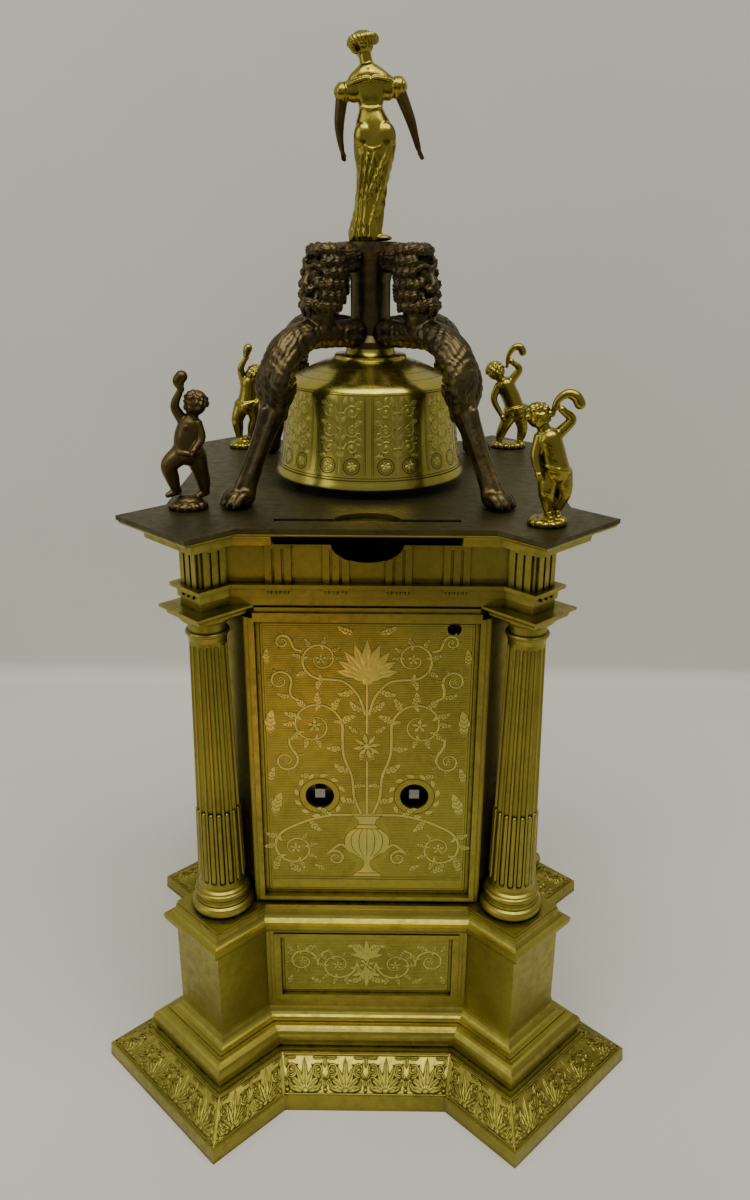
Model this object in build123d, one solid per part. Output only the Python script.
from build123d import *
import os
from math import acos, cos, pi, radians, sin, sqrt, tan

# Tabernacle clock. Millimetres, +Z up, origin at the centre of the base on the table.
# The dial faces +Y and the back, with the two winding holes, faces -Y.
# The case is alike on all four sides: a straight face with a turned-out block at each corner.

S2 = sqrt(2)

# Plan of the case: every level is drawn from the half width of its corner block
BLOCK_CENTRE = 70.0        # case axis to the middle of a corner block, along the diagonal
COLUMN_AT = BLOCK_CENTRE / S2
LEDGE_FALL = 0.12          # height given to a level ledge in a moulding

# Base casting
FOOT_HALF = 32.2           # half width of the corner block at the foot
FOOT_RUN = 41.2            # straight face lies this much further out than the block half width
FOOT_H = 5.5
ORNAMENT_TOP = 12.4
ORNAMENT_HALF = 21.2
TORUS_RUN = 38.8
TORUS_FROM = 14.2
TORUS_CREST = 17.8
TORUS_TOP = 22.0
TORUS_HALF = 20.2
BASE_TOP = 27.5
BASE_HOLLOW = 45.0         # half width of the square hollow
FLOOR_REBATE = 47.0
FLOOR_FROM = 2.5
FLOOR_THICK = 1.6

# Pedestal
DADO_HALF = 12.0
DADO_RUN = 40.0
DADO_TOP = 60.0
CAP_HALF = 15.1
CAP_RUN = 40.7
CAP_LIP_FROM = 62.6
CAP_LIP_TO = 64.3
CAP_TOP = 69.5
CAP_TOP_HALF = 11.5
CAP_TOP_RUN = 39.5
CAP_HOLLOW = 43.5
PEDESTAL_PANEL_HALF = 30.0
PEDESTAL_PANEL_Z = (32.0, 57.0)
PEDESTAL_FRAME_W = 3.5
PEDESTAL_FRAME_PROUD = 0.9
PEDESTAL_REBATE = 2.0
PEDESTAL_PANEL_THICK = 1.4
PEDESTAL_LEDGE = 3.0
PEDESTAL_BORDER_BELOW = 3.2  # frame moulding below and above the panel
PEDESTAL_BORDER_ABOVE = 2.6
PEDESTAL_BORDER_STEP = 1.2
PEDESTAL_BORDER_RISE = 1.2
PEDESTAL_BORDER_FALL = 1.0

# Body walls and their four openings
WALL_FACE = 48.5           # case axis to the outside of a wall
WALL_HALF = 38.5           # half width of the straight wall, up to its corner chamfer
WALL_THICK = 3.0
OPENING_HALF = 35.0
OPENING_Z = (72.5, 174.5)
OPENING_LEDGE = 2.0
REBATE_DEPTH = 2.0
PANEL_THICK = 1.5
FRAME_SIDE_W = 3.0
FRAME_TOP_W = 4.5
FRAME_BOTTOM_W = 2.4
FRAME_PROUD = 1.7
FRAME_STEP = 0.8
FRAME_STEP_SIDE = 1.3
FRAME_STEP_BELOW = 1.1
FRAME_STEP_ABOVE = 1.6
PANEL_GAP = 0.15           # gap round a panel in its rebate
DOOR_GAP = 0.3
SMALL_HOLE = (27.1, 171.6)  # x and z of the small hole near the top of the back panel
SMALL_HOLE_R = 2.2

# Columns
BODY_TOP = 180.0
SHAFT_FROM = 80.0
SHAFT_TO = 169.0
SHAFT_R_LOW = 7.7
SHAFT_R_TOP = 5.9
FLUTES = 16
FLUTE_R_LOW = 1.15
FLUTE_R_TOP = 0.9
CABLE_TOP = 108.0          # the lower part of each flute is filled by a rod
CABLE_R = 0.85
FLUTE_MARGIN = 2.5
COLUMN_TORUS_R = 10.6
COLUMN_ROLL = 2.1
COLUMN_SCOTIA = ((9.1, 73.8), (9.1, 74.3), (8.5, 74.6), (8.4, 75.2), (8.7, 75.6))
COLUMN_UPPER_ROLL = (8.3, 76.8, 1.1)
COLUMN_APOPHYGE = ((8.7, 77.9), (8.7, 78.6), (8.0, 79.1))
COLUMN_RING = 0.8
ECHINUS_R = 6.7
ECHINUS_FROM = 175.5
COLUMN_GAP = 0.15
ABACUS_HALF = 10.3
ABACUS_LOW_HALF = 8.6
ABACUS_FROM = 177.2
TENON_R = 2.0
TENON_L = 3.0
FIT = 0.05                 # radial clearance of pins, tenons and shafts

# Entablature
UPPER_RUN = 44.5
ARCHITRAVE_HALF = 5.4
TAENIA_HALF = 7.6
TAENIA_FROM = 186.0
ARCHITRAVE_TOP = 187.3
FRIEZE_HALF = 5.0
FRIEZE_TOP = 199.5
CORONA_HALF = 12.3
CORONA_FROM = 201.2
CORONA_TO = 203.6
CORNICE_TOP = 206.3
CORNICE_HALF = 17.4
PLATE_HALF = 17.9
PLATE_TOP = 208.0
UPPER_HOLLOW = 43.5
TRIGLYPH_W = 8.0
TRIGLYPH_PROUD = 0.8
TRIGLYPH_XS = (-27.0, -9.5, 9.5, 27.0)
TRIGLYPH_GROOVE = 0.9
GUTTA_R = 0.55
GUTTA_H = 1.3
REGULA_H = 0.7

# Opening in the back of the cornice, and slot in the top plate
VENT_HALF = 28.0
VENT_Z = (200.0, 204.5)
VENT_NOTCH_HALF = 11.0
VENT_NOTCH_Z = 193.7
SLOT_HALF = 27.5
SLOT_Y = -53.0
SLOT_W = 2.6
SLOT_HUMP_HALF = 10.0
SLOT_HUMP = 8.0

# Bell and what carries it
BELL_LIP_Z = 211.0
BELL_LIP_R = 31.8
BELL_FLARE = ((29.4, 215.0), (27.3, 218.0))  # radius and height up the flare
BELL_WAIST_R = 25.4
BELL_WAIST_Z = 222.0
BELL_DRUM_R = 24.8
BELL_DRUM_FROM = 228.0
BELL_SHOULDER_Z = 240.5
BELL_DOME = ((23.2, 242.4), (18.5, 245.2))
BELL_RING_Z = 247.0
BELL_RING_R = 11.2
BELL_BOSS_R = 8.2
BELL_TOP = 251.7
BELL_WALL = 1.8
STUD_R = 2.5
STUD_L = 10.0
BELL_NUT_R = 4.6
BELL_NUT_H = 3.2
HUB_R = 6.4
HUB_HEAD_R = 8.6
HUB_TOP = 284.0
HUB_PEG_R = 1.5
HUB_PEG_L = 7.0
BRACKET_SCREW_R = 1.05
BRACKET_SCREW_AT = 55.0
PUTTO_PEG_R = 1.2
PUTTO_PEG_L = 3.2

# Beast brackets: distance from the axis, height and radius along leg and back
BRACKET_LINE = (
    (54.0, 211.4, 3.3),
    (49.2, 220.5, 3.0),
    (44.6, 229.5, 3.4),
    (40.2, 237.5, 4.2),
    (39.4, 245.5, 5.3),
    (35.8, 252.8, 5.2),
    (28.0, 256.8, 4.8),
    (18.0, 256.9, 4.5),
    (7.5, 256.4, 4.6),
)
BEAST_HEAD = (
    (21.6, 263.4, 5.2),
    (21.8, 269.6, 6.0),
    (19.8, 276.2, 6.2),
    (13.2, 278.6, 5.0),
    (6.9, 278.6, 4.3),
)
MUZZLE = ((22.0, 268.0, 4.0), (26.4, 265.4, 2.7))
SPUR = ((37.4, 236.5, 2.6), (33.4, 242.6, 0.9))
PAW_HALF_W = 4.6
PAW_TIP = 62.0
PAW_HEEL = 50.6
PAW_H = 5.4

# Movement
PLATE_HALF_W = 34.0
PLATE_THICK = 2.0
BACK_PLATE_Y = -36.0       # rear face of the rear plate
FRONT_PLATE_Y = 16.0       # front face of the front plate
PLATE_TOP_Z = 172.0
PLATFORM_THICK = 2.0
PILLAR_R = 2.5
PILLAR_X = 30.0
PILLAR_ZS = (79.5, 167.0)
PILLAR_TENON_R = 1.6
ARBOR_X = 15.7             # winding arbors either side of the middle
ARBOR_Z = 111.3
ARBOR_R = 2.0
WINDING_HOLE_R = 4.75
SQUARE_W = 3.3
ARBOR_TAIL_Y = -46.4       # end of the winding square, just inside the back panel
BARREL_R = 13.5
BARREL_WALL = 0.9
BARREL_CAP = 1.2
MODULE = 0.5
GREAT_TEETH = 64
WHEEL_TEETH = 60
PINION_LEAVES = 12
WHEEL_THICK = 1.5
GREAT_THICK = 2.0
PINION_THICK = 3.4
TRAIN_ARBOR_R = 0.9
PIPE_R = 2.8
REPORT_TEETH = 16
COUNT_TEETH = 64
HOUR_TEETH = 64
HOUR_MODULE = 0.6
BACKLASH = 0.10
ADDENDUM = 0.75            # in modules, short so that small pinions run clear
DEDENDUM = 1.05
PRESSURE_ANGLE = 20.0
CROWN_TEETH = 15
CROWN_R = 9.2
CROWN_RIM = 1.6
VERGE_Y = -8.0
VERGE_R = 0.9
PALLET_L = 2.5
BALANCE_R = 20.0
BALANCE_RIM = 1.8
BALANCE_Z = 178.0
BALANCE_THICK = 1.6
RATCHET_TEETH = 24
RATCHET_R = 7.0
RATCHET_DEPTH = 0.9
RATCHET_THICK = 1.3
HAMMER_X = -24.0
HAMMER_Z = 160.0
HAMMER_TAIL_Z = 143.2      # foot of the tail, in the path of the pins
HAMMER_R = 1.2
HAMMER_HEAD_R = 2.8
HAMMER_HEAD_L = 4.4
HAMMER_HEAD_Z = 215.0
RUN = 0.3                  # running gap between faces of pieces that turn
FLY_R = 9.2
ROD_X = 41.0
ROD_Y = 34.0
ROD_R = 1.5
FOOT_SCREW_R = 1.1
FOOT_X = 20.0
FOOT_BLOCK = 6.0
FOOT_TALL = 6.5
CLICK_REACH = 11.6         # ratchet centre across to the click's stud
CLICK_RISE = 4.0
CLICK_R = 2.0
CLICK_STUD_R = 1.0
COUNT_STUD_R = 1.5
DETENT_AT = (-28.5, 84.0)
POTENCE_NOSE_Y = (-6.4, -4.2)
ESCAPE_ARM_X = (2.6, 5.4)
VERGE_LOW = 128.0
VERGE_TOP = 184.6
COCK_Z = (182.0, 184.0)
COCK_HALF = 3.0
HIT_PINS = 8
HIT_PIN_AT = 13.6
HIT_PIN_R = 0.6
FLY_Y = (-26.0, -10.0)
END_SHAKE = 0.2            # arbors stop this far short of the outer faces of the plates

# Dial
DIAL_Z = ARBOR_Z + sqrt((HOUR_MODULE * (REPORT_TEETH + HOUR_TEETH) / 2) ** 2 - ARBOR_X**2)
CHAPTER_R = 33.0
CHAPTER_IN_R = 22.5
CHAPTER_THICK = 0.9
HAND_L = 29.0
HAND_THICK = 1.0
HAND_LIFT = 1.2
HOUR_PIPE_R = 2.6
HOUR_STUD_R = 1.6

# Hinges of the side doors
HINGE_OUT = 51.4
HINGE_Y = 36.8
KNUCKLE_R = 1.2
HINGE_PIN_R = 0.6
KNUCKLE_L = 5.0
KNUCKLE_ZS = (86.0, 161.0)
LATCH_Z = 123.5
LATCH_Y = 29.5
LATCH_SHAFT_R = 1.2
LATCH_DISC_R = 2.4
LATCH_DISC_THICK = 0.7
LATCH_GRIP = (1.6, 1.0, 6.8)   # how far the grip stands out, its width and its height
LATCH_TONGUE = (1.2, 3.0, 8.5)  # thickness, width and height of the tongue
DIAL_SCREW_R = 0.8
DIAL_SCREW_INSET = 1.1     # screw centre in from the edge of the opening


def between(a, b, t):
    return a + (b - a) * t


def quarter(start, end, out_first, steps=6):
    """Points of a quarter round from start to end, each point (z, half width)."""
    points = []
    for i in range(1, steps + 1):
        angle = pi / 2 * i / steps
        s = sin(angle)
        c = 1 - cos(angle)
        if out_first:
            points.append((between(start[0], end[0], c), between(start[1], end[1], s)))
        else:
            points.append((between(start[0], end[0], s), between(start[1], end[1], c)))
    return points


def outline(z, half, run):
    """Plan of the case at one level, with a square block turned out at each corner."""
    face = half + run
    far = BLOCK_CENTRE + half
    corner = [
        (face - S2 * half, -face),
        ((far - half) / S2, -(far + half) / S2),
        ((far + half) / S2, -(far - half) / S2),
        (face, -(face - S2 * half)),
    ]
    points = []
    for turn in range(4):
        points += corner
        corner = [(-y, x) for x, y in corner]
    return Pos(0, 0, z) * Polygon(*points, align=None)


def moulding(levels, run_from, run_to):
    """Solid through (z, half width) levels, its run changing evenly with height."""
    low = levels[0][0]
    high = levels[-1][0]
    sections = []
    for z, half in levels:
        run = between(run_from, run_to, (z - low) / (high - low))
        sections.append(outline(z, half, run))
    return loft(sections, ruled=True)


def block(x, y, z):
    """Box between pairs of coordinates."""
    size = (x[1] - x[0], y[1] - y[0], z[1] - z[0])
    centre = ((x[0] + x[1]) / 2, (y[0] + y[1]) / 2, (z[0] + z[1]) / 2)
    return Pos(*centre) * Box(*size)


def rod_z(x, y, z, radius):
    return Pos(x, y, (z[0] + z[1]) / 2) * Cylinder(radius, z[1] - z[0])


def rod_y(x, y, z, radius):
    return Pos(x, (y[0] + y[1]) / 2, z) * Rot(90, 0, 0) * Cylinder(radius, y[1] - y[0])


def facing(shape, side):
    """Turn a piece made for the back (-Y) to side 0 back, 1 right, 2 front, 3 left."""
    return Rot(0, 0, 90 * side) * shape


def chamfered_square(half, straight, z):
    points = []
    for sx, sy in ((1, -1), (1, 1), (-1, 1), (-1, -1)):
        pair = [(sx * half, sy * straight), (sx * straight, sy * half)]
        if sx * sy < 0:
            pair.reverse()
        points += pair
    return extrude(Pos(0, 0, z[0]) * Polygon(*points, align=None), z[1] - z[0])


def turned(points):
    """Solid of revolution from (radius, height) points on the right of the axis."""
    loop = [(0, points[0][1])] + list(points) + [(0, points[-1][1])]
    return revolve(Plane.XZ * Polygon(*loop, align=None), Axis.Z)


def ball(at, radii):
    return Pos(*at) * scale(Sphere(1), by=radii)


def limb(points):
    """Chain of tapering round lengths through (x, y, z, radius) points."""
    body = Pos(*points[0][:3]) * Sphere(points[0][3])
    for a, b in zip(points, points[1:]):
        start = Vector(*a[:3])
        end = Vector(*b[:3])
        way = end - start
        low = Plane(origin=start, z_dir=way) * Circle(a[3])
        high = Plane(origin=end, z_dir=way) * Circle(b[3])
        body += loft([low, high], ruled=True)
        body += Pos(*b[:3]) * Sphere(b[3])
    return body


# Base and pedestal

def base_plinth():
    levels = [(0, FOOT_HALF), (FOOT_H, FOOT_HALF - 0.3), (FOOT_H + LEDGE_FALL, FOOT_HALF - 1.2)]
    slope = moulding(
        levels + [(ORNAMENT_TOP, ORNAMENT_HALF), (ORNAMENT_TOP + LEDGE_FALL, ORNAMENT_HALF - 0.6)],
        FOOT_RUN,
        TORUS_RUN,
    )
    start = (TORUS_FROM, TORUS_HALF - 1.0)
    crest = (TORUS_CREST, TORUS_HALF)
    top = (TORUS_TOP, TORUS_HALF - 3.8)
    levels = [(ORNAMENT_TOP + LEDGE_FALL, ORNAMENT_HALF - 0.6), (TORUS_FROM - LEDGE_FALL, ORNAMENT_HALF - 0.6)]
    levels += [start] + quarter(start, crest, True) + quarter(crest, top, False)
    levels += [(TORUS_TOP + LEDGE_FALL, TORUS_HALF - 4.3), (TORUS_TOP + 0.9, TORUS_HALF - 4.3)]
    hollow = (TORUS_TOP + 0.9 + LEDGE_FALL, TORUS_HALF - 4.8)
    levels += [hollow] + quarter(hollow, (BASE_TOP, DADO_HALF), True)
    body = slope + moulding(levels, TORUS_RUN, DADO_RUN)
    body -= block((-BASE_HOLLOW, BASE_HOLLOW), (-BASE_HOLLOW, BASE_HOLLOW), (-1, BASE_TOP + 1))
    body -= block((-FLOOR_REBATE, FLOOR_REBATE), (-FLOOR_REBATE, FLOOR_REBATE), (-1, FLOOR_FROM + FLOOR_THICK))
    return body


def floor_plate():
    half = FLOOR_REBATE - 0.2
    plate = block((-half, half), (-half, half), (FLOOR_FROM, FLOOR_FROM + FLOOR_THICK))
    for x in (-ROD_X, ROD_X):
        for y in (-ROD_Y, ROD_Y):
            plate -= rod_z(x, y, (0, 10), ROD_R + FIT)
    return plate


def tie_rods():
    rods = []
    for x in (-ROD_X, ROD_X):
        for y in (-ROD_Y, ROD_Y):
            shank = rod_z(x, y, (FLOOR_FROM, PLATE_TOP - 0.8), ROD_R)
            rods.append(shank + rod_z(x, y, (FLOOR_FROM - 1.5, FLOOR_FROM), ROD_R + 1.3))
    return Compound(children=rods)


def pedestal_frame():
    body = moulding([(BASE_TOP, DADO_HALF), (DADO_TOP, DADO_HALF)], DADO_RUN, DADO_RUN)
    body -= block((-BASE_HOLLOW, BASE_HOLLOW), (-BASE_HOLLOW, BASE_HOLLOW), (BASE_TOP - 1, DADO_TOP + 1))
    face = DADO_HALF + DADO_RUN
    low, high = PEDESTAL_PANEL_Z
    half = PEDESTAL_PANEL_HALF
    wide = half + PEDESTAL_FRAME_W
    low -= PEDESTAL_BORDER_BELOW
    high += PEDESTAL_BORDER_ABOVE
    border = block((-wide, wide), (-face - PEDESTAL_FRAME_PROUD / 2, -face), (low, high))
    wide -= PEDESTAL_BORDER_STEP
    low += PEDESTAL_BORDER_RISE
    high -= PEDESTAL_BORDER_FALL
    border += block((-wide, wide), (-face - PEDESTAL_FRAME_PROUD, -face), (low, high))
    low, high = PEDESTAL_PANEL_Z
    ledge = PEDESTAL_LEDGE
    recess = block((-half, half), (-face - 5, -face + PEDESTAL_REBATE), (low, high))
    window = block((-half + ledge, half - ledge), (-face - 5, -BASE_HOLLOW + 1), (low + ledge, high - ledge))
    for side in range(4):
        body += facing(border, side)
        body -= facing(recess + window, side)
    return body


def pedestal_panel(side):
    face = DADO_HALF + DADO_RUN - PEDESTAL_REBATE
    half = PEDESTAL_PANEL_HALF - PANEL_GAP
    low, high = PEDESTAL_PANEL_Z
    plate = block((-half, half), (-face - PEDESTAL_PANEL_THICK, -face), (low + PANEL_GAP, high - PANEL_GAP))
    return facing(plate, side)


def pedestal_cap():
    start = (DADO_TOP + 0.5, DADO_HALF + 0.5)
    lip = (CAP_LIP_FROM, CAP_HALF - 0.2)
    levels = [(DADO_TOP, DADO_HALF + 0.3), start] + quarter(start, lip, True)
    levels += [(CAP_LIP_FROM + LEDGE_FALL, CAP_HALF), (CAP_LIP_TO, CAP_HALF)]
    below = moulding(levels, DADO_RUN, CAP_RUN)
    rise = (CAP_LIP_TO + LEDGE_FALL, CAP_HALF - 0.7)
    fall = (CAP_TOP - 1.2, CAP_TOP_HALF + 0.4)
    levels = [(CAP_LIP_TO, CAP_HALF), rise] + quarter(rise, fall, True)
    levels += [(CAP_TOP - 1.1, CAP_TOP_HALF), (CAP_TOP, CAP_TOP_HALF)]
    body = below + moulding(levels, CAP_RUN, CAP_TOP_RUN)
    body -= block((-CAP_HOLLOW, CAP_HOLLOW), (-CAP_HOLLOW, CAP_HOLLOW), (DADO_TOP - 1, CAP_TOP + 1))
    for x in (-COLUMN_AT, COLUMN_AT):
        for y in (-COLUMN_AT, COLUMN_AT):
            body -= rod_z(x, y, (CAP_TOP - TENON_L - 0.2, CAP_TOP + 1), TENON_R + FIT)
    return body


# Body, its panels and doors

def body_frame():
    body = chamfered_square(WALL_FACE, WALL_HALF, (CAP_TOP, BODY_TOP))
    inner = WALL_FACE - WALL_THICK
    inner_straight = WALL_HALF + WALL_THICK - (S2 * WALL_THICK)
    body -= chamfered_square(inner, inner_straight, (CAP_TOP - 1, BODY_TOP + 1))
    low, high = OPENING_Z
    wide = OPENING_HALF + FRAME_SIDE_W
    border = block(
        (-wide, wide),
        (-WALL_FACE - FRAME_PROUD + FRAME_STEP, -WALL_FACE),
        (low - FRAME_BOTTOM_W, high + FRAME_TOP_W),
    )
    wide -= FRAME_STEP_SIDE
    border += block(
        (-wide, wide),
        (-WALL_FACE - FRAME_PROUD, -WALL_FACE),
        (low - FRAME_BOTTOM_W + FRAME_STEP_BELOW, high + FRAME_TOP_W - FRAME_STEP_ABOVE),
    )
    recess = block((-OPENING_HALF, OPENING_HALF), (-WALL_FACE - 5, -WALL_FACE + REBATE_DEPTH), (low, high))
    half = OPENING_HALF - OPENING_LEDGE
    window = block((-half, half), (-WALL_FACE - 5, -inner + 1), (low + OPENING_LEDGE, high - OPENING_LEDGE))
    for side in range(4):
        body += facing(border, side)
        body -= facing(recess + window, side)
    body -= rod_y(SMALL_HOLE[0], (-WALL_FACE - 5, -inner + 1), SMALL_HOLE[1], SMALL_HOLE_R + 0.2)
    for x, z in dial_screw_places():
        body -= rod_y(x, (inner - 1, WALL_FACE), z, DIAL_SCREW_R + FIT)
    for x in (-COLUMN_AT, COLUMN_AT):
        for y in (-COLUMN_AT, COLUMN_AT):
            body -= rod_z(x, y, (CAP_TOP - 1, SHAFT_FROM - 1.2), COLUMN_TORUS_R + COLUMN_GAP)
            half = ABACUS_HALF + COLUMN_GAP
            square = block((-half, half), (-half, half), (ABACUS_FROM - 1.5, BODY_TOP + 1))
            body -= Pos(x, y, 0) * Rot(0, 0, 45) * square
    for side in (-1, 1):
        body += door_knuckles(side, True)
        body -= rod_z(side * HINGE_OUT, -HINGE_Y, hinge_span(), HINGE_PIN_R + FIT)
    return body


def hinge_span():
    return (KNUCKLE_ZS[0] - 2 * KNUCKLE_L, KNUCKLE_ZS[1] + 2 * KNUCKLE_L)


def door_knuckles(side, fixed):
    """Knuckles of one side door: outer pairs on the frame, the middle one on the door."""
    group = Part()
    for z in KNUCKLE_ZS:
        if fixed:
            spans = [(z - 1.5 * KNUCKLE_L, z - KNUCKLE_L / 2), (z + KNUCKLE_L / 2, z + 1.5 * KNUCKLE_L)]
        else:
            spans = [(z - KNUCKLE_L / 2 + 0.2, z + KNUCKLE_L / 2 - 0.2)]
        for span in spans:
            group += rod_z(side * HINGE_OUT, -HINGE_Y, span, KNUCKLE_R)
            if fixed:
                xs = sorted((side * (WALL_FACE - 0.5), side * HINGE_OUT))
                group += block(xs, (-HINGE_Y - KNUCKLE_R, -HINGE_Y - 0.2), span)
            else:
                xs = sorted((side * (HINGE_OUT - 0.5), side * (HINGE_OUT + KNUCKLE_R)))
                group += block(xs, (-HINGE_Y, -OPENING_HALF + 1.9), span)
                xs = sorted((side * (WALL_FACE - 0.8), side * (HINGE_OUT + KNUCKLE_R)))
                group += block(xs, (-OPENING_HALF + 0.5, -OPENING_HALF + 1.9), span)
    return group


def hinge_pins():
    pins = []
    for side in (-1, 1):
        for z in KNUCKLE_ZS:
            span = (z - 1.5 * KNUCKLE_L, z + 1.5 * KNUCKLE_L)
            pin = rod_z(side * HINGE_OUT, -HINGE_Y, span, HINGE_PIN_R)
            top = (span[1], span[1] + 0.8)
            pins.append(pin + rod_z(side * HINGE_OUT, -HINGE_Y, top, HINGE_PIN_R + 0.4))
    return Compound(children=pins)


def side_door(side):
    half = OPENING_HALF - DOOR_GAP
    low, high = OPENING_Z
    face = WALL_FACE - REBATE_DEPTH
    xs = sorted((side * face, side * (face + PANEL_THICK)))
    door = block(xs, (-half, half), (low + DOOR_GAP, high - DOOR_GAP))
    door += door_knuckles(side, False)
    door -= rod_z(side * HINGE_OUT, -HINGE_Y, hinge_span(), HINGE_PIN_R + FIT)
    door -= Pos(side * face, LATCH_Y, LATCH_Z) * Rot(0, 90, 0) * Cylinder(LATCH_SHAFT_R + FIT, 10)
    return door


def rod_x(x, radius):
    """Round rod through the latch's place, between two x."""
    low, high = sorted(x)
    return Pos((low + high) / 2, LATCH_Y, LATCH_Z) * Rot(0, 90, 0) * Cylinder(radius, high - low)


def door_latch(side):
    """Turn button: knob outside, shaft through the door, tongue behind the frame's ledge."""
    outside = WALL_FACE - REBATE_DEPTH + PANEL_THICK
    grip_out, grip_w, grip_h = LATCH_GRIP
    thick, width, height = LATCH_TONGUE
    disc = (outside + RUN, outside + RUN + LATCH_DISC_THICK)
    end = disc[1] + grip_out
    tongue_back = WALL_FACE - WALL_THICK - RUN
    start = tongue_back - thick
    half = grip_h / 2
    latch = rod_x((side * start, side * end), LATCH_SHAFT_R)
    latch += rod_x((side * disc[0], side * disc[1]), LATCH_DISC_R)
    grip = (LATCH_Y - grip_w / 2, LATCH_Y + grip_w / 2)
    latch += block(sorted((side * disc[1], side * end)), grip, (LATCH_Z - half, LATCH_Z + half))
    tongue_z = (LATCH_Z - width / 2, LATCH_Z - width / 2 + height)
    tongue_y = (LATCH_Y - width / 2, LATCH_Y + width / 2)
    latch += block(sorted((side * start, side * tongue_back)), tongue_y, tongue_z)
    return latch


def back_panel():
    half = OPENING_HALF - PANEL_GAP
    low, high = OPENING_Z
    face = -WALL_FACE + REBATE_DEPTH
    panel = block((-half, half), (face - PANEL_THICK, face), (low + PANEL_GAP, high - PANEL_GAP))
    for x in (-ARBOR_X, ARBOR_X):
        panel -= rod_y(x, (face - 5, face + 5), ARBOR_Z, WINDING_HOLE_R)
    panel -= rod_y(SMALL_HOLE[0], (face - 5, face + 5), SMALL_HOLE[1], SMALL_HOLE_R)
    return panel


# Columns

def roll(edge, middle, size):
    """Half round moulding as (radius, height) points, from its foot up."""
    points = []
    for i in range(9):
        angle = radians(-90 + 22.5 * i)
        points.append((edge + size * cos(angle), middle + size * sin(angle)))
    return points


def column_profile():
    low = COLUMN_TORUS_R - COLUMN_ROLL
    points = [(low, CAP_TOP)] + roll(low, CAP_TOP + COLUMN_ROLL, COLUMN_ROLL) + list(COLUMN_SCOTIA)
    points += roll(*COLUMN_UPPER_ROLL) + list(COLUMN_APOPHYGE)
    points += [(SHAFT_R_LOW, SHAFT_FROM), (SHAFT_R_TOP, SHAFT_TO)]
    points += [(SHAFT_R_TOP + 0.3, SHAFT_TO + 1.2), (SHAFT_R_TOP + 0.4, SHAFT_TO + 1.8)]
    ring_z = SHAFT_TO + 2.6
    points += roll(SHAFT_R_TOP + 0.2, ring_z, COLUMN_RING)
    points += [(SHAFT_R_TOP, ring_z + 0.9), (SHAFT_R_TOP, ECHINUS_FROM - 0.7)]
    points += [(ECHINUS_R, ECHINUS_FROM - 0.6), (ECHINUS_R, ECHINUS_FROM)]
    for i in range(1, 7):
        angle = radians(15 * i)
        out = ECHINUS_R + (ABACUS_LOW_HALF - ECHINUS_R) * sin(angle)
        points.append((out, ECHINUS_FROM + (ABACUS_FROM - ECHINUS_FROM) * (1 - cos(angle))))
    return points


def shaft_radius(z):
    return between(SHAFT_R_LOW, SHAFT_R_TOP, (z - SHAFT_FROM) / (SHAFT_TO - SHAFT_FROM))


def column():
    """One column on the Z axis, its flutes filled by rods up to the cable height."""
    low = SHAFT_FROM + FLUTE_MARGIN
    high = SHAFT_TO - FLUTE_MARGIN + 0.5
    ends = [(shaft_radius(low) + 0.2, 0, low, FLUTE_R_LOW), (shaft_radius(high) + 0.2, 0, high, FLUTE_R_TOP)]
    groove = limb(ends)
    cable_at = shaft_radius(CABLE_TOP) - 0.5
    rod = limb([(shaft_radius(low) - 0.5, 0, low + 0.5, CABLE_R), (cable_at, 0, CABLE_TOP, CABLE_R - 0.05)])
    grooves = []
    cables = []
    for i in range(FLUTES):
        turn = Rot(0, 0, 360 / FLUTES * (i + 0.5))
        grooves.append(turn * groove)
        cables.append(turn * rod)
    shaft = turned(column_profile()).cut(*grooves).fuse(*cables)
    top = (BODY_TOP - 0.9, ABACUS_HALF - 0.3)
    levels = [(ABACUS_FROM, ABACUS_LOW_HALF)] + quarter((ABACUS_FROM, ABACUS_LOW_HALF), top, False)
    levels += [(BODY_TOP - 0.8, ABACUS_HALF), (BODY_TOP, ABACUS_HALF)]
    shaft += loft([Pos(0, 0, z) * Rot(0, 0, 45) * Rectangle(2 * h, 2 * h) for z, h in levels], ruled=True)
    shaft += rod_z(0, 0, (CAP_TOP - TENON_L, CAP_TOP + 1), TENON_R)
    return shaft + rod_z(0, 0, (BODY_TOP - 1, BODY_TOP + TENON_L), TENON_R)


# Entablature and top

def upper_hollow(z):
    return block((-UPPER_HOLLOW, UPPER_HOLLOW), (-UPPER_HOLLOW, UPPER_HOLLOW), (z[0] - 1, z[1] + 1))


def architrave():
    half = ARCHITRAVE_HALF
    levels = [(BODY_TOP, half), (182.8, half), (182.8 + LEDGE_FALL, half + 0.6), (TAENIA_FROM, half + 0.6)]
    levels += [(TAENIA_FROM + LEDGE_FALL, TAENIA_HALF), (ARCHITRAVE_TOP, TAENIA_HALF)]
    body = moulding(levels, UPPER_RUN, UPPER_RUN) - upper_hollow((BODY_TOP, ARCHITRAVE_TOP))
    body = body.fuse(*guttae())
    for x in (-COLUMN_AT, COLUMN_AT):
        for y in (-COLUMN_AT, COLUMN_AT):
            body -= rod_z(x, y, (BODY_TOP - 1, BODY_TOP + TENON_L + 0.2), TENON_R + FIT)
    return body


def vent_cut():
    cut = block((-VENT_HALF, VENT_HALF), (-90, -UPPER_HOLLOW + 1), VENT_Z)
    notch_h = VENT_Z[0] - VENT_NOTCH_Z
    notch = Pos(0, -65, VENT_Z[0]) * Rot(90, 0, 0) * scale(Cylinder(1, 50), by=(VENT_NOTCH_HALF, notch_h, 1))
    reach_in = block((-VENT_HALF, VENT_HALF), (-90, -UPPER_HOLLOW + 1), (VENT_NOTCH_Z - 1, VENT_Z[1]))
    return cut + (notch & reach_in)


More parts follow.
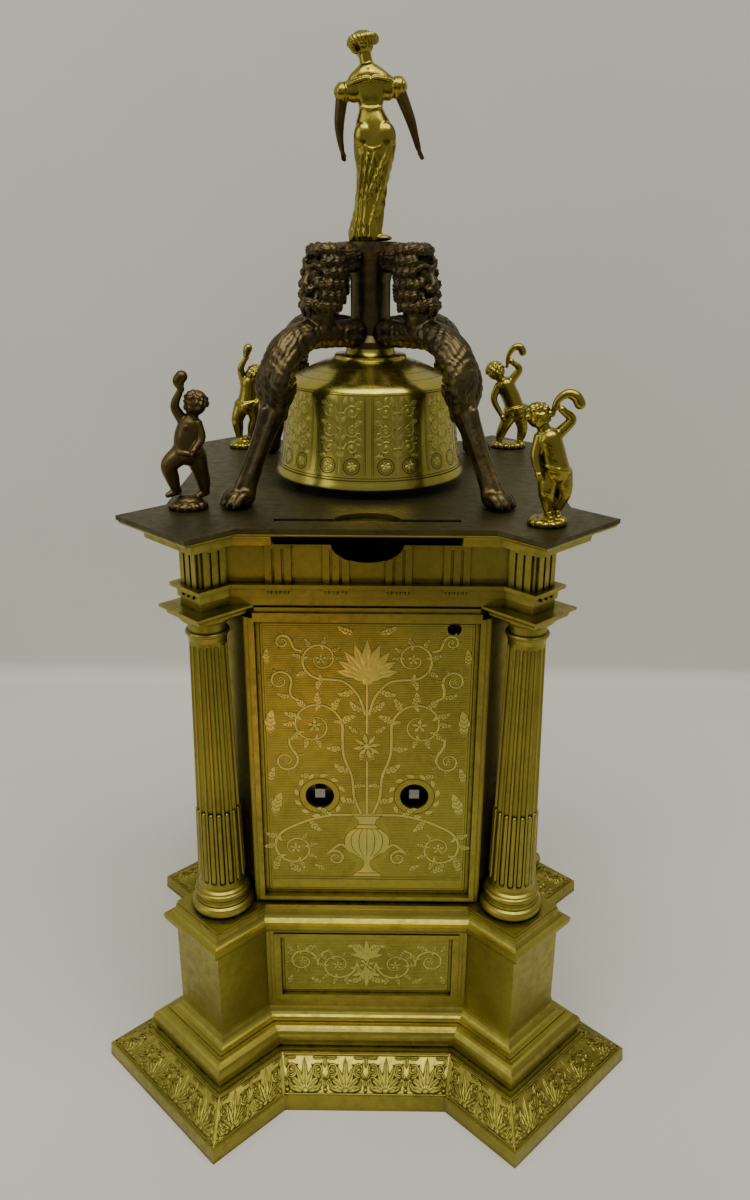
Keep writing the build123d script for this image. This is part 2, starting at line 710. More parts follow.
def frieze():
    body = moulding([(ARCHITRAVE_TOP, FRIEZE_HALF), (FRIEZE_TOP, FRIEZE_HALF)], UPPER_RUN, UPPER_RUN)
    body -= upper_hollow((ARCHITRAVE_TOP, FRIEZE_TOP))
    return body.fuse(*triglyphs()) - vent_cut()


def triglyph():
    """One triglyph standing on the plane y = 0 and facing -Y."""
    low = ARCHITRAVE_TOP
    high = FRIEZE_TOP
    half = TRIGLYPH_W / 2
    strip = (TRIGLYPH_W - 2 * TRIGLYPH_GROOVE) / 3
    body = block((-half, half), (-TRIGLYPH_PROUD, 0.2), (high - 1.3, high))
    body += block((-half, half), (-0.3, 0.2), (low, high))
    for i in (-1, 0, 1):
        at = i * (strip + TRIGLYPH_GROOVE)
        body += block((at - strip / 2, at + strip / 2), (-TRIGLYPH_PROUD, 0), (low, high - 1))
    return body


def triglyphs():
    face = FRIEZE_HALF + UPPER_RUN
    far = BLOCK_CENTRE + FRIEZE_HALF
    side_mid = (face - S2 * FRIEZE_HALF + (far - FRIEZE_HALF) / S2) / 2
    side_y = -(face + (far + FRIEZE_HALF) / S2) / 2
    pieces = []
    for side in range(4):
        for x in TRIGLYPH_XS:
            pieces.append(facing(Pos(x, -face, 0) * triglyph(), side))
        outer = Rot(0, 0, 45) * Pos(0, -far, 0) * triglyph()
        left = Pos(side_mid, side_y, 0) * Rot(0, 0, -45) * triglyph()
        right = Pos(-side_y, -side_mid, 0) * Rot(0, 0, 135) * triglyph()
        pieces += [facing(outer, side), facing(left, side), facing(right, side)]
    return pieces


def guttae():
    """Strips with three drops on the architrave, one below each triglyph."""
    half = ARCHITRAVE_HALF + 0.6
    face = half + UPPER_RUN
    far = BLOCK_CENTRE + half
    top = TAENIA_FROM + LEDGE_FALL
    strip = block((-TRIGLYPH_W / 2, TRIGLYPH_W / 2), (-1.0, 0.2), (TAENIA_FROM - REGULA_H, top))
    for i in (-1, 0, 1):
        strip += Pos(i * 2.6, -0.45, TAENIA_FROM - REGULA_H - GUTTA_H / 2) * Cone(GUTTA_R, 0.35, GUTTA_H)
    pieces = []
    for side in range(4):
        for x in TRIGLYPH_XS:
            pieces.append(facing(Pos(x, -face, 0) * strip, side))
        pieces.append(facing(Rot(0, 0, 45) * Pos(0, -far, 0) * strip, side))
    return pieces


def cornice():
    bed = (FRIEZE_TOP + 0.3, FRIEZE_HALF + 1.2)
    bed_top = (CORONA_FROM - 0.2, FRIEZE_HALF + 3.2)
    levels = [(FRIEZE_TOP, FRIEZE_HALF + 1.1), bed] + quarter(bed, bed_top, True)
    levels += [(CORONA_FROM, CORONA_HALF - 0.2), (CORONA_TO, CORONA_HALF)]
    hollow = (CORONA_TO + LEDGE_FALL, CORONA_HALF + 0.6)
    middle = (between(CORONA_TO, CORNICE_TOP, 0.52), between(CORONA_HALF, CORNICE_HALF, 0.5))
    edge = (CORNICE_TOP - 0.2, CORNICE_HALF)
    levels += [hollow] + quarter(hollow, middle, False) + quarter(middle, edge, True)
    levels += [(CORNICE_TOP, CORNICE_HALF)]
    body = moulding(levels, UPPER_RUN, UPPER_RUN) - upper_hollow((FRIEZE_TOP, CORNICE_TOP)) - vent_cut()
    for x, y in putto_places():
        body -= rod_z(x, y, (PLATE_TOP - PUTTO_PEG_L - 0.2, CORNICE_TOP + 1), PUTTO_PEG_R + FIT)
    return body


def plate_slot():
    depth = PLATE_TOP - CORNICE_TOP + 2
    across = (SLOT_Y - SLOT_W / 2, SLOT_Y + SLOT_W / 2)
    bar = block((-SLOT_HALF, SLOT_HALF), across, (CORNICE_TOP - 1, PLATE_TOP + 1))
    hump = scale(Cylinder(1, depth), by=(SLOT_HUMP_HALF, SLOT_HUMP, 1))
    hump = Pos(0, SLOT_Y, CORNICE_TOP - 1 + depth / 2) * hump
    hump &= block((-20, 20), (SLOT_Y, 0), (CORNICE_TOP - 1, PLATE_TOP + 1))
    return bar + hump


def top_plate():
    levels = [(CORNICE_TOP, PLATE_HALF - 0.4), (CORNICE_TOP + 0.4, PLATE_HALF), (PLATE_TOP, PLATE_HALF)]
    body = moulding(levels, UPPER_RUN, UPPER_RUN) - plate_slot()
    body -= block((HAMMER_X - 3, HAMMER_X + 12), (-3, 3), (CORNICE_TOP - 1, PLATE_TOP + 1))
    for x in (-ROD_X, ROD_X):
        for y in (-ROD_Y, ROD_Y):
            body -= rod_z(x, y, (CORNICE_TOP - 1, PLATE_TOP - 0.7), ROD_R + FIT)
    for x, y in putto_places():
        body -= rod_z(x, y, (CORNICE_TOP - 1, PLATE_TOP + 1), PUTTO_PEG_R + FIT)
    at = BRACKET_SCREW_AT / S2
    for x in (-at, at):
        for y in (-at, at):
            body -= rod_z(x, y, (CORNICE_TOP - 1, PLATE_TOP + 1), BRACKET_SCREW_R + FIT)
    return body


# Bell, brackets and figures

def bell():
    crown = BELL_TOP - BELL_WALL
    outside = [(BELL_LIP_R, BELL_LIP_Z), (BELL_LIP_R, BELL_LIP_Z + 0.9)]
    outside += list(BELL_FLARE) + [(BELL_WAIST_R, BELL_WAIST_Z), (BELL_DRUM_R, BELL_DRUM_FROM)]
    outside += [(BELL_DRUM_R, BELL_SHOULDER_Z - 1.5), (BELL_DRUM_R - 0.4, BELL_SHOULDER_Z)]
    outside += list(BELL_DOME) + [(BELL_RING_R + 0.6, BELL_RING_Z), (BELL_RING_R, BELL_RING_Z + 1.4)]
    outside += [(BELL_BOSS_R, BELL_RING_Z + 2.0), (BELL_BOSS_R - 0.4, BELL_TOP)]
    inside = [(STUD_R + FIT, BELL_TOP), (STUD_R + FIT, crown), (BELL_NUT_R + 0.5, crown)]
    inside += [(BELL_RING_R - 3.5, BELL_RING_Z - 1.2)]
    inside += [(r - BELL_WALL + 0.5, z - BELL_WALL + 0.2) for r, z in reversed(BELL_DOME)]
    inside += [(BELL_DRUM_R - BELL_WALL, BELL_SHOULDER_Z - 2), (BELL_DRUM_R - BELL_WALL, BELL_DRUM_FROM)]
    inside += [(BELL_WAIST_R - BELL_WALL, BELL_WAIST_Z)]
    inside += [(r - BELL_WALL - 0.3, z) for r, z in reversed(BELL_FLARE)] + [(BELL_LIP_R - 2.4, BELL_LIP_Z)]
    return revolve(Plane.XZ * Polygon(*(outside + inside), align=None), Axis.Z)


def bell_bolt():
    crown = BELL_TOP - BELL_WALL
    head = extrude(Pos(0, 0, crown - BELL_NUT_H) * RegularPolygon(BELL_NUT_R, 6), BELL_NUT_H)
    return head + rod_z(0, 0, (crown - 1, BELL_TOP + STUD_L), STUD_R)


def bracket_hub():
    profile = [(HUB_R + 1.2, BELL_TOP), (HUB_R + 1.2, BELL_TOP + 2), (HUB_R, BELL_TOP + 4), (HUB_R, 272.0)]
    profile += [(HUB_HEAD_R - 0.6, 279.0), (HUB_HEAD_R, 281.0), (HUB_HEAD_R - 0.3, HUB_TOP)]
    hub = turned(profile)
    hub -= rod_z(0, 0, (BELL_TOP - 1, BELL_TOP + STUD_L + 0.2), STUD_R + FIT)
    hub -= rod_z(0, 0, (HUB_TOP - HUB_PEG_L - 0.2, HUB_TOP + 1), HUB_PEG_R + FIT)
    return hub


def upright_limb(points):
    """Limb in the plane y = 0 through (distance from the axis, height, radius) points."""
    return limb([(r, 0, z, size) for r, z, size in points])


def paw():
    middle = (PAW_TIP + PAW_HEEL) / 2
    length = (PAW_TIP - PAW_HEEL) / 2
    pad = ball((middle, 0, PLATE_TOP + 1.6), (length, PAW_HALF_W, PAW_H - 1.6))
    for y in (-3.3, -1.15, 1.15, 3.3):
        pad += ball((PAW_TIP - 2.4 - abs(y) * 0.35, y, PLATE_TOP + 1.6), (2.6, 1.35, 1.9))
    below = block((40, 70), (-10, 10), (PLATE_TOP - 10, PLATE_TOP))
    return pad - below


def beast_bracket():
    """One bracket in the plane y = 0, its paw towards +X."""
    body = upright_limb(BRACKET_LINE) + paw()
    body += upright_limb(BEAST_HEAD) + upright_limb(MUZZLE) + upright_limb(SPUR)
    body -= bracket_hub()
    body -= rod_z(0, 0, (BELL_RING_Z, BELL_TOP + RUN), BELL_RING_R + 3)
    return body - rod_z(BRACKET_SCREW_AT, 0, (PLATE_TOP - 1, PLATE_TOP + 3), BRACKET_SCREW_R + FIT)


def bracket_screws():
    at = BRACKET_SCREW_AT / S2
    screws = []
    for x in (-at, at):
        for y in (-at, at):
            shank = rod_z(x, y, (CORNICE_TOP, PLATE_TOP + 2.8), BRACKET_SCREW_R)
            screws.append(shank + rod_z(x, y, (CORNICE_TOP - 1.2, CORNICE_TOP), BRACKET_SCREW_R + 0.8))
    return screws


# Gown of the standing figure: middle x, middle y, height, half widths
GOWN = (
    (-1.4, 0.0, 284.0, 5.6, 4.6),
    (-1.7, 0.0, 287.5, 5.6, 4.6),
    (-0.7, 0.0, 293.0, 4.9, 4.2),
    (0.2, 0.0, 299.0, 4.9, 4.2),
    (1.0, -0.2, 306.0, 6.0, 4.8),
    (1.2, -0.4, 312.5, 7.0, 5.2),
    (0.8, -0.2, 317.5, 5.8, 4.4),
    (0.0, 0.0, 322.0, 3.8, 3.2),
    (-0.3, 0.3, 326.0, 5.2, 4.0),
    (-0.4, 0.2, 330.0, 6.2, 3.6),
    (-0.7, 0.0, 332.6, 3.8, 2.7),
    (-1.2, 0.1, 334.4, 1.9, 1.9),
    (-1.8, 0.3, 337.0, 1.9, 2.0),
)
LEFT_ARM = ((-9.2, 0.0, 324.5, 1.9), (-9.6, 0.3, 317.5, 1.55), (-9.2, 1.8, 311.2, 0.95),
            (-8.0, 2.4, 308.6, 0.9))
RIGHT_ARM = ((9.4, 0.0, 325.0, 1.9), (12.2, 0.2, 318.6, 1.5), (14.2, 1.2, 312.2, 0.95), (15.7, 1.4, 308.8, 1.2))


def standing_figure():
    sections = []
    for x, y, z, half_x, half_y in GOWN:
        sections.append(Pos(x, y, z) * Ellipse(half_x, half_y))
    body = loft(sections)
    body += ball((-2.4, 0.8, 338.4), (3.1, 3.7, 3.6))
    body += ball((-2.7, -0.6, 339.6), (4.2, 4.0, 2.8))
    body += ball((-8.4, 0, 326.6), (2.9, 2.8, 3.3))
    body += ball((8.0, 0, 328.0), (2.9, 2.8, 3.3))
    body += limb([(-8.0, 0, 327.4, 2.3), (-3.0, 0, 329.6, 2.6)])
    body += limb([(7.6, 0, 328.6, 2.3), (2.0, 0, 329.6, 2.6)])
    body += ball((4.6, -1.4, 285.2), (2.4, 2.8, 1.2))
    body -= block((-20, 20), (-20, 20), (270, HUB_TOP))
    body += rod_z(0, 0, (HUB_TOP - HUB_PEG_L, HUB_TOP + 2), HUB_PEG_R)
    return body + limb(LEFT_ARM) + limb(RIGHT_ARM)


# Putti: each has a mound, legs, trunk, head, a lowered arm and a raised one
PUTTI = {
    "putto_back_left": {
        "at": (-54.6, -41.0),
        "mound": (6.6, 5.6, 5.0),
        "head": (-50.6, -41.2, 239.8, 3.9),
        "trunk": ((-53.6, -41.0, 225.6, 4.4), (-53.6, -41.3, 229.6, 4.3), (-52.7, -41.0, 234.0, 3.6)),
        "legs": (
            ((-56.2, -41.6, 224.6, 3.3), (-59.2, -43.2, 221.8, 2.8), (-57.8, -41.6, 214.2, 1.7),
             (-57.6, -43.4, 212.6, 1.5)),
            ((-51.6, -40.4, 224.0, 3.4), (-50.4, -39.6, 218.8, 2.7), (-49.8, -38.8, 212.8, 1.7),
             (-49.6, -40.6, 211.6, 1.5)),
        ),
        "arms": (
            ((-55.0, -41.2, 235.4, 1.9), (-56.2, -42.4, 239.6, 1.6), (-54.6, -42.0, 243.8, 1.2)),
            ((-50.4, -41.6, 234.2, 1.8), (-49.4, -42.8, 229.6, 1.5), (-51.2, -45.2, 226.6, 1.1)),
        ),
        "held": ((-54.6, -42.0, 246.9, 2.4),),
    },
    "putto_front_left": {
        "at": (-49.6, 48.0),
        "mound": (6.0, 5.4, 4.6),
        "head": (-43.9, 47.6, 236.0, 3.6),
        "trunk": ((-47.8, 48.0, 224.6, 4.3), (-47.0, 48.0, 229.4, 3.9), (-46.8, 48.0, 233.2, 3.5)),
        "legs": (
            ((-50.2, 47.8, 223.8, 3.3), (-51.8, 46.6, 219.0, 2.6), (-51.4, 47.6, 212.6, 1.6),
             (-51.2, 45.8, 211.4, 1.5)),
            ((-45.6, 48.4, 223.6, 3.2), (-45.2, 49.4, 218.6, 2.5), (-47.4, 49.6, 212.8, 1.6),
             (-47.4, 47.8, 211.6, 1.5)),
        ),
        "arms": (
            ((-49.2, 48.0, 234.6, 1.8), (-49.6, 47.2, 238.4, 1.5), (-47.6, 47.4, 242.0, 1.2)),
            ((-43.8, 48.0, 232.2, 1.7), (-41.6, 47.4, 228.4, 1.4), (-43.6, 45.4, 225.4, 1.1)),
        ),
        "held": ((-47.0, 47.6, 245.0, 2.2),),
    },
    "putto_back_right": {
        "at": (52.0, -56.2),
        "mound": (6.2, 5.2, 3.6),
        "head": (47.1, -56.4, 239.6, 3.5),
        "trunk": ((53.4, -56.0, 223.8, 4.5), (52.2, -56.2, 228.4, 4.0), (50.8, -56.2, 233.4, 3.8)),
        "legs": (
            ((51.6, -56.4, 222.6, 3.3), (51.4, -57.6, 217.6, 2.6), (52.4, -56.8, 211.8, 1.6),
             (52.2, -58.6, 210.6, 1.5)),
            ((55.4, -55.6, 222.4, 3.3), (56.2, -55.2, 217.6, 2.6), (54.4, -55.2, 211.8, 1.6),
             (54.6, -57.0, 210.6, 1.5)),
        ),
        "arms": (
            ((53.8, -56.2, 235.0, 1.9), (57.0, -56.4, 238.4, 1.6), (54.4, -56.8, 241.6, 1.3)),
            ((47.8, -56.4, 233.6, 1.8), (47.0, -58.4, 228.2, 1.5), (48.0, -60.0, 223.0, 1.1)),
        ),
        "held": ((51.6, -56.8, 240.6, 1.2), (52.6, -56.8, 244.2, 1.3), (55.6, -56.8, 245.6, 1.4),
                 (58.0, -56.8, 244.4, 1.4),
                 (58.6, -56.8, 242.6, 1.3)),
    },
    "putto_front_right": {
        "at": (53.2, 51.0),
        "mound": (7.4, 5.2, 2.6),
        "head": (46.6, 51.0, 237.2, 3.5),
        "trunk": ((55.6, 51.0, 222.2, 3.9), (53.8, 51.0, 227.0, 3.7), (51.0, 51.0, 232.4, 3.6)),
        "legs": (
            ((53.8, 50.8, 220.6, 3.0), (51.2, 50.0, 215.6, 2.3), (49.2, 50.6, 210.8, 1.5),
             (48.6, 48.9, 209.8, 1.4)),
            ((57.0, 51.2, 220.6, 3.0), (58.2, 51.2, 216.0, 2.3), (57.8, 51.4, 210.8, 1.5),
             (57.8, 49.6, 209.8, 1.4)),
        ),
        "arms": (
            ((53.4, 51.0, 234.0, 1.8), (56.0, 51.0, 238.2, 1.5), (53.4, 50.6, 241.0, 1.2)),
            ((48.0, 51.0, 231.6, 1.7), (46.6, 49.8, 226.4, 1.4), (50.2, 47.6, 219.8, 1.1)),
        ),
        "held": ((51.4, 50.6, 239.6, 1.2), (51.8, 50.6, 243.2, 1.3), (53.6, 50.6, 246.0, 1.4),
                 (55.6, 50.6, 246.4, 1.4),
                 (56.6, 50.6, 244.4, 1.3)),
    },
}


def putto_places():
    return [spec["at"] for spec in PUTTI.values()]


def putto(spec):
    x, y = spec["at"]
    half_x, half_y, height = spec["mound"]
    body = ball((x, y, PLATE_TOP), (half_x, half_y, height))
    body += Pos(*spec["head"][:3]) * Sphere(spec["head"][3])
    body += limb(spec["trunk"])
    body += limb([spec["trunk"][-1], spec["head"][:3] + (2.0,)])
    for chain in spec["legs"] + spec["arms"]:
        body += limb(chain)
    hand = spec["arms"][0][-1]
    body += limb((hand,) + spec["held"]) if len(spec["held"]) == 1 else limb(spec["held"])
    body -= block((x - 20, x + 20), (y - 20, y + 20), (PLATE_TOP - 20, PLATE_TOP))
    return body + rod_z(x, y, (PLATE_TOP - PUTTO_PEG_L, PLATE_TOP + 1), PUTTO_PEG_R)


# Movement

def involute(angle):
    return tan(angle) - angle


def toothed(teeth, module, phase):
    """Face of a spur wheel drawn in its own plane, with one tooth at the phase angle."""
    pitch = module * teeth / 2
    base = pitch * cos(radians(PRESSURE_ANGLE))
    tip = pitch + ADDENDUM * module
    root = pitch - DEDENDUM * module
    half = pi / (2 * teeth) - BACKLASH / (2 * pitch) + involute(radians(PRESSURE_ANGLE))
    flank = [max(base, root), (max(base, root) + pitch) / 2, pitch, (pitch + tip) / 2, tip]
    points = []
    for i in range(teeth):
        centre = phase + 2 * pi * i / teeth
        rising = []
        for r in flank:
            rising.append((r, half - involute(acos(min(1, base / r)))))
        if root < base:
            rising.insert(0, (root, rising[0][1]))
        for r, a in rising:
            points.append((r * cos(centre - a), r * sin(centre - a)))
        for r, a in reversed(rising):
            points.append((r * cos(centre + a), r * sin(centre + a)))
    return Polygon(*points, align=None)


def meshed_phase(phase, teeth, at, other_teeth, other_at):
    """Phase that puts a second wheel in mesh with the first, each at (x, z)."""
    dx = other_at[0] - at[0]
    dz = other_at[1] - at[1]
    way = (Vector(1, 0, 0)).get_signed_angle(Vector(dx, dz, 0), Vector(0, 0, 1))
    way = radians(way)
    share = (way - phase) * teeth / (2 * pi)
    return way + pi - (2 * pi / other_teeth) * (0.5 - share)


def crossed(face, rim_r, hub_r, arm_w, bore_r):
    """Open a wheel face into rim, hub and four arms."""
    opening = Circle(rim_r) - Circle(hub_r)
    opening -= Rectangle(2 * rim_r + 1, arm_w)
    opening -= Rectangle(arm_w, 2 * rim_r + 1)
    return face - opening - Circle(bore_r)


def flat_wheel(face, at, y):
    """Stand a wheel face at (x, z), from y[0] back to y[1]."""
    return Pos(at[0], max(y), at[1]) * Rot(90, 0, 0) * extrude(face, abs(y[1] - y[0]))


def reach(at, distance, angle):
    return (at[0] + distance * cos(radians(angle)), at[1] + distance * sin(radians(angle)))


# Depths of the wheels, front faces first
GOING_GREAT_Y = (6.0, 8.0)
GOING_BARREL_Y = (-31.0, 6.0)
SECOND_Y = (10.0, 11.5)
CROWN_Y = (-3.2, 0.0)
CROWN_TIP_Y = -5.0
STRIKE_GREAT_Y = (-28.0, -26.0)
STRIKE_BARREL_Y = (-26.0, 11.0)
PIN_WHEEL_Y = (-31.5, -30.0)
REPORT_Y = (-38.6, -36.4)
COUNT_Y = (-38.3, -36.8)
STRIKE_RATCHET_Y = (-41.2, -39.9)
GOING_RATCHET_Y = (-38.2, -36.9)
HOUR_Y = (17.0, 18.6)

GOING_AT = (ARBOR_X, ARBOR_Z)
STRIKE_AT = (-ARBOR_X, ARBOR_Z)
GREAT_DISTANCE = MODULE * (GREAT_TEETH + PINION_LEAVES) / 2
WHEEL_DISTANCE = MODULE * (WHEEL_TEETH + PINION_LEAVES) / 2
SECOND_AT = reach(GOING_AT, GREAT_DISTANCE, 83.0)
CROWN_AT = reach(SECOND_AT, WHEEL_DISTANCE, 136.2)
PIN_AT = reach(STRIKE_AT, GREAT_DISTANCE, 97.0)
FLY_AT = reach(PIN_AT, WHEEL_DISTANCE, 73.9)
COUNT_AT = reach(STRIKE_AT, MODULE * (REPORT_TEETH + COUNT_TEETH) / 2, -67.4)
DIAL_AT = (0.0, DIAL_Z)

GREAT_PHASE = 0.0
SECOND_PINION_PHASE = meshed_phase(GREAT_PHASE, GREAT_TEETH, GOING_AT, PINION_LEAVES, SECOND_AT)
CROWN_PINION_PHASE = meshed_phase(0.0, WHEEL_TEETH, SECOND_AT, PINION_LEAVES, CROWN_AT)
PIN_PINION_PHASE = meshed_phase(GREAT_PHASE, GREAT_TEETH, STRIKE_AT, PINION_LEAVES, PIN_AT)
FLY_PINION_PHASE = meshed_phase(0.0, WHEEL_TEETH, PIN_AT, PINION_LEAVES, FLY_AT)
COUNT_PHASE = meshed_phase(0.0, REPORT_TEETH, STRIKE_AT, COUNT_TEETH, COUNT_AT)
HOUR_PHASE = meshed_phase(0.0, REPORT_TEETH, GOING_AT, HOUR_TEETH, DIAL_AT)


def platform():
    straight = WALL_HALF + WALL_THICK - S2 * WALL_THICK - 0.3
    plate = chamfered_square(WALL_FACE - WALL_THICK - 0.3, straight, (CAP_TOP, CAP_TOP + PLATFORM_THICK))
    for x in (-ROD_X, ROD_X):
        for y in (-ROD_Y, ROD_Y):
            plate -= rod_z(x, y, (60, 80), ROD_R + FIT)
    for x, y in foot_places():
        plate -= rod_z(x, y, (60, 80), FOOT_SCREW_R + FIT)
    return plate


def foot_places():
    back = BACK_PLATE_Y + PLATE_THICK + FOOT_BLOCK / 2
    front = FRONT_PLATE_Y - PLATE_THICK - FOOT_BLOCK / 2
    return [(x, y) for x in (-FOOT_X, FOOT_X) for y in (back, front)]


def movement_screws():
    low = CAP_TOP
    screws = []
    for x, y in foot_places():
        shank = rod_z(x, y, (low, low + PLATFORM_THICK + 5.0), FOOT_SCREW_R)
        screws.append(shank + rod_z(x, y, (low - 1.5, low), FOOT_SCREW_R + 1.2))
    return screws


def movement_plate(front):
    low = CAP_TOP + PLATFORM_THICK
    if front:
        ys = (FRONT_PLATE_Y - PLATE_THICK, FRONT_PLATE_Y)
        foot_y = (ys[0] - FOOT_BLOCK, ys[0])
        holes = [(GOING_AT, PIPE_R), (STRIKE_AT, ARBOR_R)]
        holes += [(SECOND_AT, TRAIN_ARBOR_R), (CROWN_AT, TRAIN_ARBOR_R)]
        holes += [(PIN_AT, TRAIN_ARBOR_R), (FLY_AT, TRAIN_ARBOR_R), ((HAMMER_X, HAMMER_Z), HAMMER_R)]
    else:
        ys = (BACK_PLATE_Y, BACK_PLATE_Y + PLATE_THICK)
        foot_y = (ys[1], ys[1] + FOOT_BLOCK)
        holes = [(GOING_AT, ARBOR_R), (STRIKE_AT, PIPE_R), (SECOND_AT, TRAIN_ARBOR_R)]
        holes += [(PIN_AT, TRAIN_ARBOR_R), (FLY_AT, TRAIN_ARBOR_R), ((HAMMER_X, HAMMER_Z), HAMMER_R)]
    plate = block((-PLATE_HALF_W, PLATE_HALF_W), ys, (low, PLATE_TOP_Z))
    plate -= block((-14, 14), (ys[0] - 1, ys[1] + 1), (low - 1, low + 7))
    for x in (-FOOT_X, FOOT_X):
        plate += block((x - FOOT_BLOCK / 2, x + FOOT_BLOCK / 2), foot_y, (low, low + FOOT_TALL))
    for x, y in foot_places():
        if foot_y[0] < y < foot_y[1]:
            plate -= rod_z(x, y, (low - 1, low + 5.2), FOOT_SCREW_R + FIT)
    for (x, z), r in holes:
        plate -= rod_y(x, (ys[0] - 1, ys[1] + 1), z, r + FIT)
    if front:
        for x in (-PILLAR_X, PILLAR_X):
            for z in PILLAR_ZS:
                plate -= rod_y(x, (ys[0] - 1, ys[1] + 1), z, PILLAR_TENON_R + FIT)
    if front:
        return plate + rod_y(DIAL_AT[0], (ys[1] - 1, hand_y()[1] + 2.2), DIAL_AT[1], HOUR_STUD_R)
    return plate.fuse(*movement_pillars(), *click_studs(), count_stud(), detent_stud())


def movement_pillars():
    inner = (BACK_PLATE_Y + PLATE_THICK, FRONT_PLATE_Y - PLATE_THICK)
    pillars = []
    for x in (-PILLAR_X, PILLAR_X):
        for z in PILLAR_ZS:
            pillar = rod_y(x, inner, z, PILLAR_R)
            middle = (inner[0] + inner[1]) / 2
            pillar += rod_y(x, (middle - 1.5, middle + 1.5), z, PILLAR_R + 0.8)
            pillar += rod_y(x, (inner[0], inner[0] + 1.5), z, PILLAR_R + 0.7)
            pillar += rod_y(x, (inner[1] - 1.5, inner[1]), z, PILLAR_R + 0.7)
            pillar += rod_y(x, (BACK_PLATE_Y - 1.6, FRONT_PLATE_Y + 1.6), z, PILLAR_TENON_R)
            pillars.append(pillar)
    return pillars


def barrel(at, barrel_y, great_y, pipe_y, report_y, report_module):
    """Spring barrel with its great wheel, and on a pipe the pinion that drives the dial work."""
    drum = rod_y(at[0], barrel_y, at[1], BARREL_R)
    inside = (barrel_y[0] + BARREL_CAP, barrel_y[1] - BARREL_CAP)
    drum -= rod_y(at[0], inside, at[1], BARREL_R - BARREL_WALL)
    drum += flat_wheel(toothed(GREAT_TEETH, MODULE, GREAT_PHASE), at, great_y)
    drum += rod_y(at[0], pipe_y, at[1], PIPE_R)
    drum += flat_wheel(toothed(REPORT_TEETH, report_module, 0.0), at, report_y)
    return drum - rod_y(at[0], (-60, 60), at[1], ARBOR_R + FIT)


def going_barrel():
    report = (HOUR_Y[0] - 0.3, HOUR_Y[1] + 0.3)
    return barrel(GOING_AT, GOING_BARREL_Y, GOING_GREAT_Y, (GOING_GREAT_Y[1], report[1]), report, HOUR_MODULE)


def striking_barrel():
    pipe = (REPORT_Y[0], STRIKE_GREAT_Y[0])
    return barrel(STRIKE_AT, STRIKE_BARREL_Y, STRIKE_GREAT_Y, pipe, REPORT_Y, MODULE)


def winding_arbor(at, front_y, ratchet_y, mirror):
    arbor = rod_y(at[0], (ratchet_y[0] - 0.5, front_y), at[1], ARBOR_R)
    half = SQUARE_W / 2
    arbor += block((at[0] - half, at[0] + half), (ARBOR_TAIL_Y, ratchet_y[0]), (at[1] - half, at[1] + half))
    points = []
    for i in range(RATCHET_TEETH):
        angle = 2 * pi * i / RATCHET_TEETH
        tip = RATCHET_R
        root = RATCHET_R - RATCHET_DEPTH
        points.append((mirror * root * cos(angle), -root * sin(angle)))
        points.append((mirror * tip * cos(angle), -tip * sin(angle)))
    if mirror > 0:
        points.reverse()
    return arbor + flat_wheel(Polygon(*points, align=None), at, ratchet_y)


def click_stud_at(at, mirror):
    return (at[0] + mirror * CLICK_REACH, at[1] + CLICK_RISE)


def click(at, ratchet_y, mirror):
    """Pawl beside a ratchet wheel, turning on a stud of the rear plate."""
    x, z = click_stud_at(at, mirror)
    tip_x = at[0] + mirror * (RATCHET_R + 0.35)
    points = [
        (x - mirror * 1.9, z),
        (tip_x, at[1] + 0.6),
        (tip_x + mirror * 0.9, at[1] + 0.1),
        (x + mirror * 1.9, z - 0.6),
        (x, z + 1.9),
    ]
    if mirror < 0:
        points.reverse()
    face = Polygon(*[(px - x, pz - z) for px, pz in points], align=None) + Circle(CLICK_R)
    return flat_wheel(face - Circle(CLICK_STUD_R + FIT), (x, z), ratchet_y)


def click_studs():
    studs = []
    for at, ratchet_y, mirror in ((GOING_AT, GOING_RATCHET_Y, 1), (STRIKE_AT, STRIKE_RATCHET_Y, -1)):
        x, z = click_stud_at(at, mirror)
        stud = rod_y(x, (ratchet_y[0] - 0.6, BACK_PLATE_Y), z, CLICK_STUD_R)
        stud += rod_y(x, (ratchet_y[1] + 0.3, BACK_PLATE_Y), z, CLICK_STUD_R + 0.9)
        stud += rod_y(x, (ratchet_y[0] - 1.2, ratchet_y[0] - 0.3), z, CLICK_STUD_R + 0.7)
        studs.append(stud)
    return studs


def train_wheel(at, wheel_y, pinion_y, pinion_phase, arbor_y):
    face = crossed(toothed(WHEEL_TEETH, MODULE, 0.0), 12.8, 3.4, 1.8, TRAIN_ARBOR_R)
    body = flat_wheel(face, at, wheel_y)
    body += flat_wheel(toothed(PINION_LEAVES, MODULE, pinion_phase), at, pinion_y)
    return body + rod_y(at[0], arbor_y, at[1], TRAIN_ARBOR_R)


def going_second_wheel():
    pinion = (GOING_GREAT_Y[0] - 0.7, GOING_GREAT_Y[1] + 0.7)
    arbor = (BACK_PLATE_Y + END_SHAKE, FRONT_PLATE_Y - END_SHAKE)
    return train_wheel(SECOND_AT, SECOND_Y, pinion, SECOND_PINION_PHASE, arbor)


def pin_wheel():
    pinion = (STRIKE_GREAT_Y[0] - 0.7, STRIKE_GREAT_Y[1] + 0.7)
    arbor = (BACK_PLATE_Y + END_SHAKE, FRONT_PLATE_Y - END_SHAKE)
    body = train_wheel(PIN_AT, PIN_WHEEL_Y, pinion, PIN_PINION_PHASE, arbor)
    for i in range(HIT_PINS):
        x, z = reach(PIN_AT, HIT_PIN_AT, 360 / HIT_PINS * (i + 0.5))
        body += rod_y(x, (PIN_WHEEL_Y[0] - 1.6, PIN_WHEEL_Y[0] + 0.5), z, HIT_PIN_R)
    return body


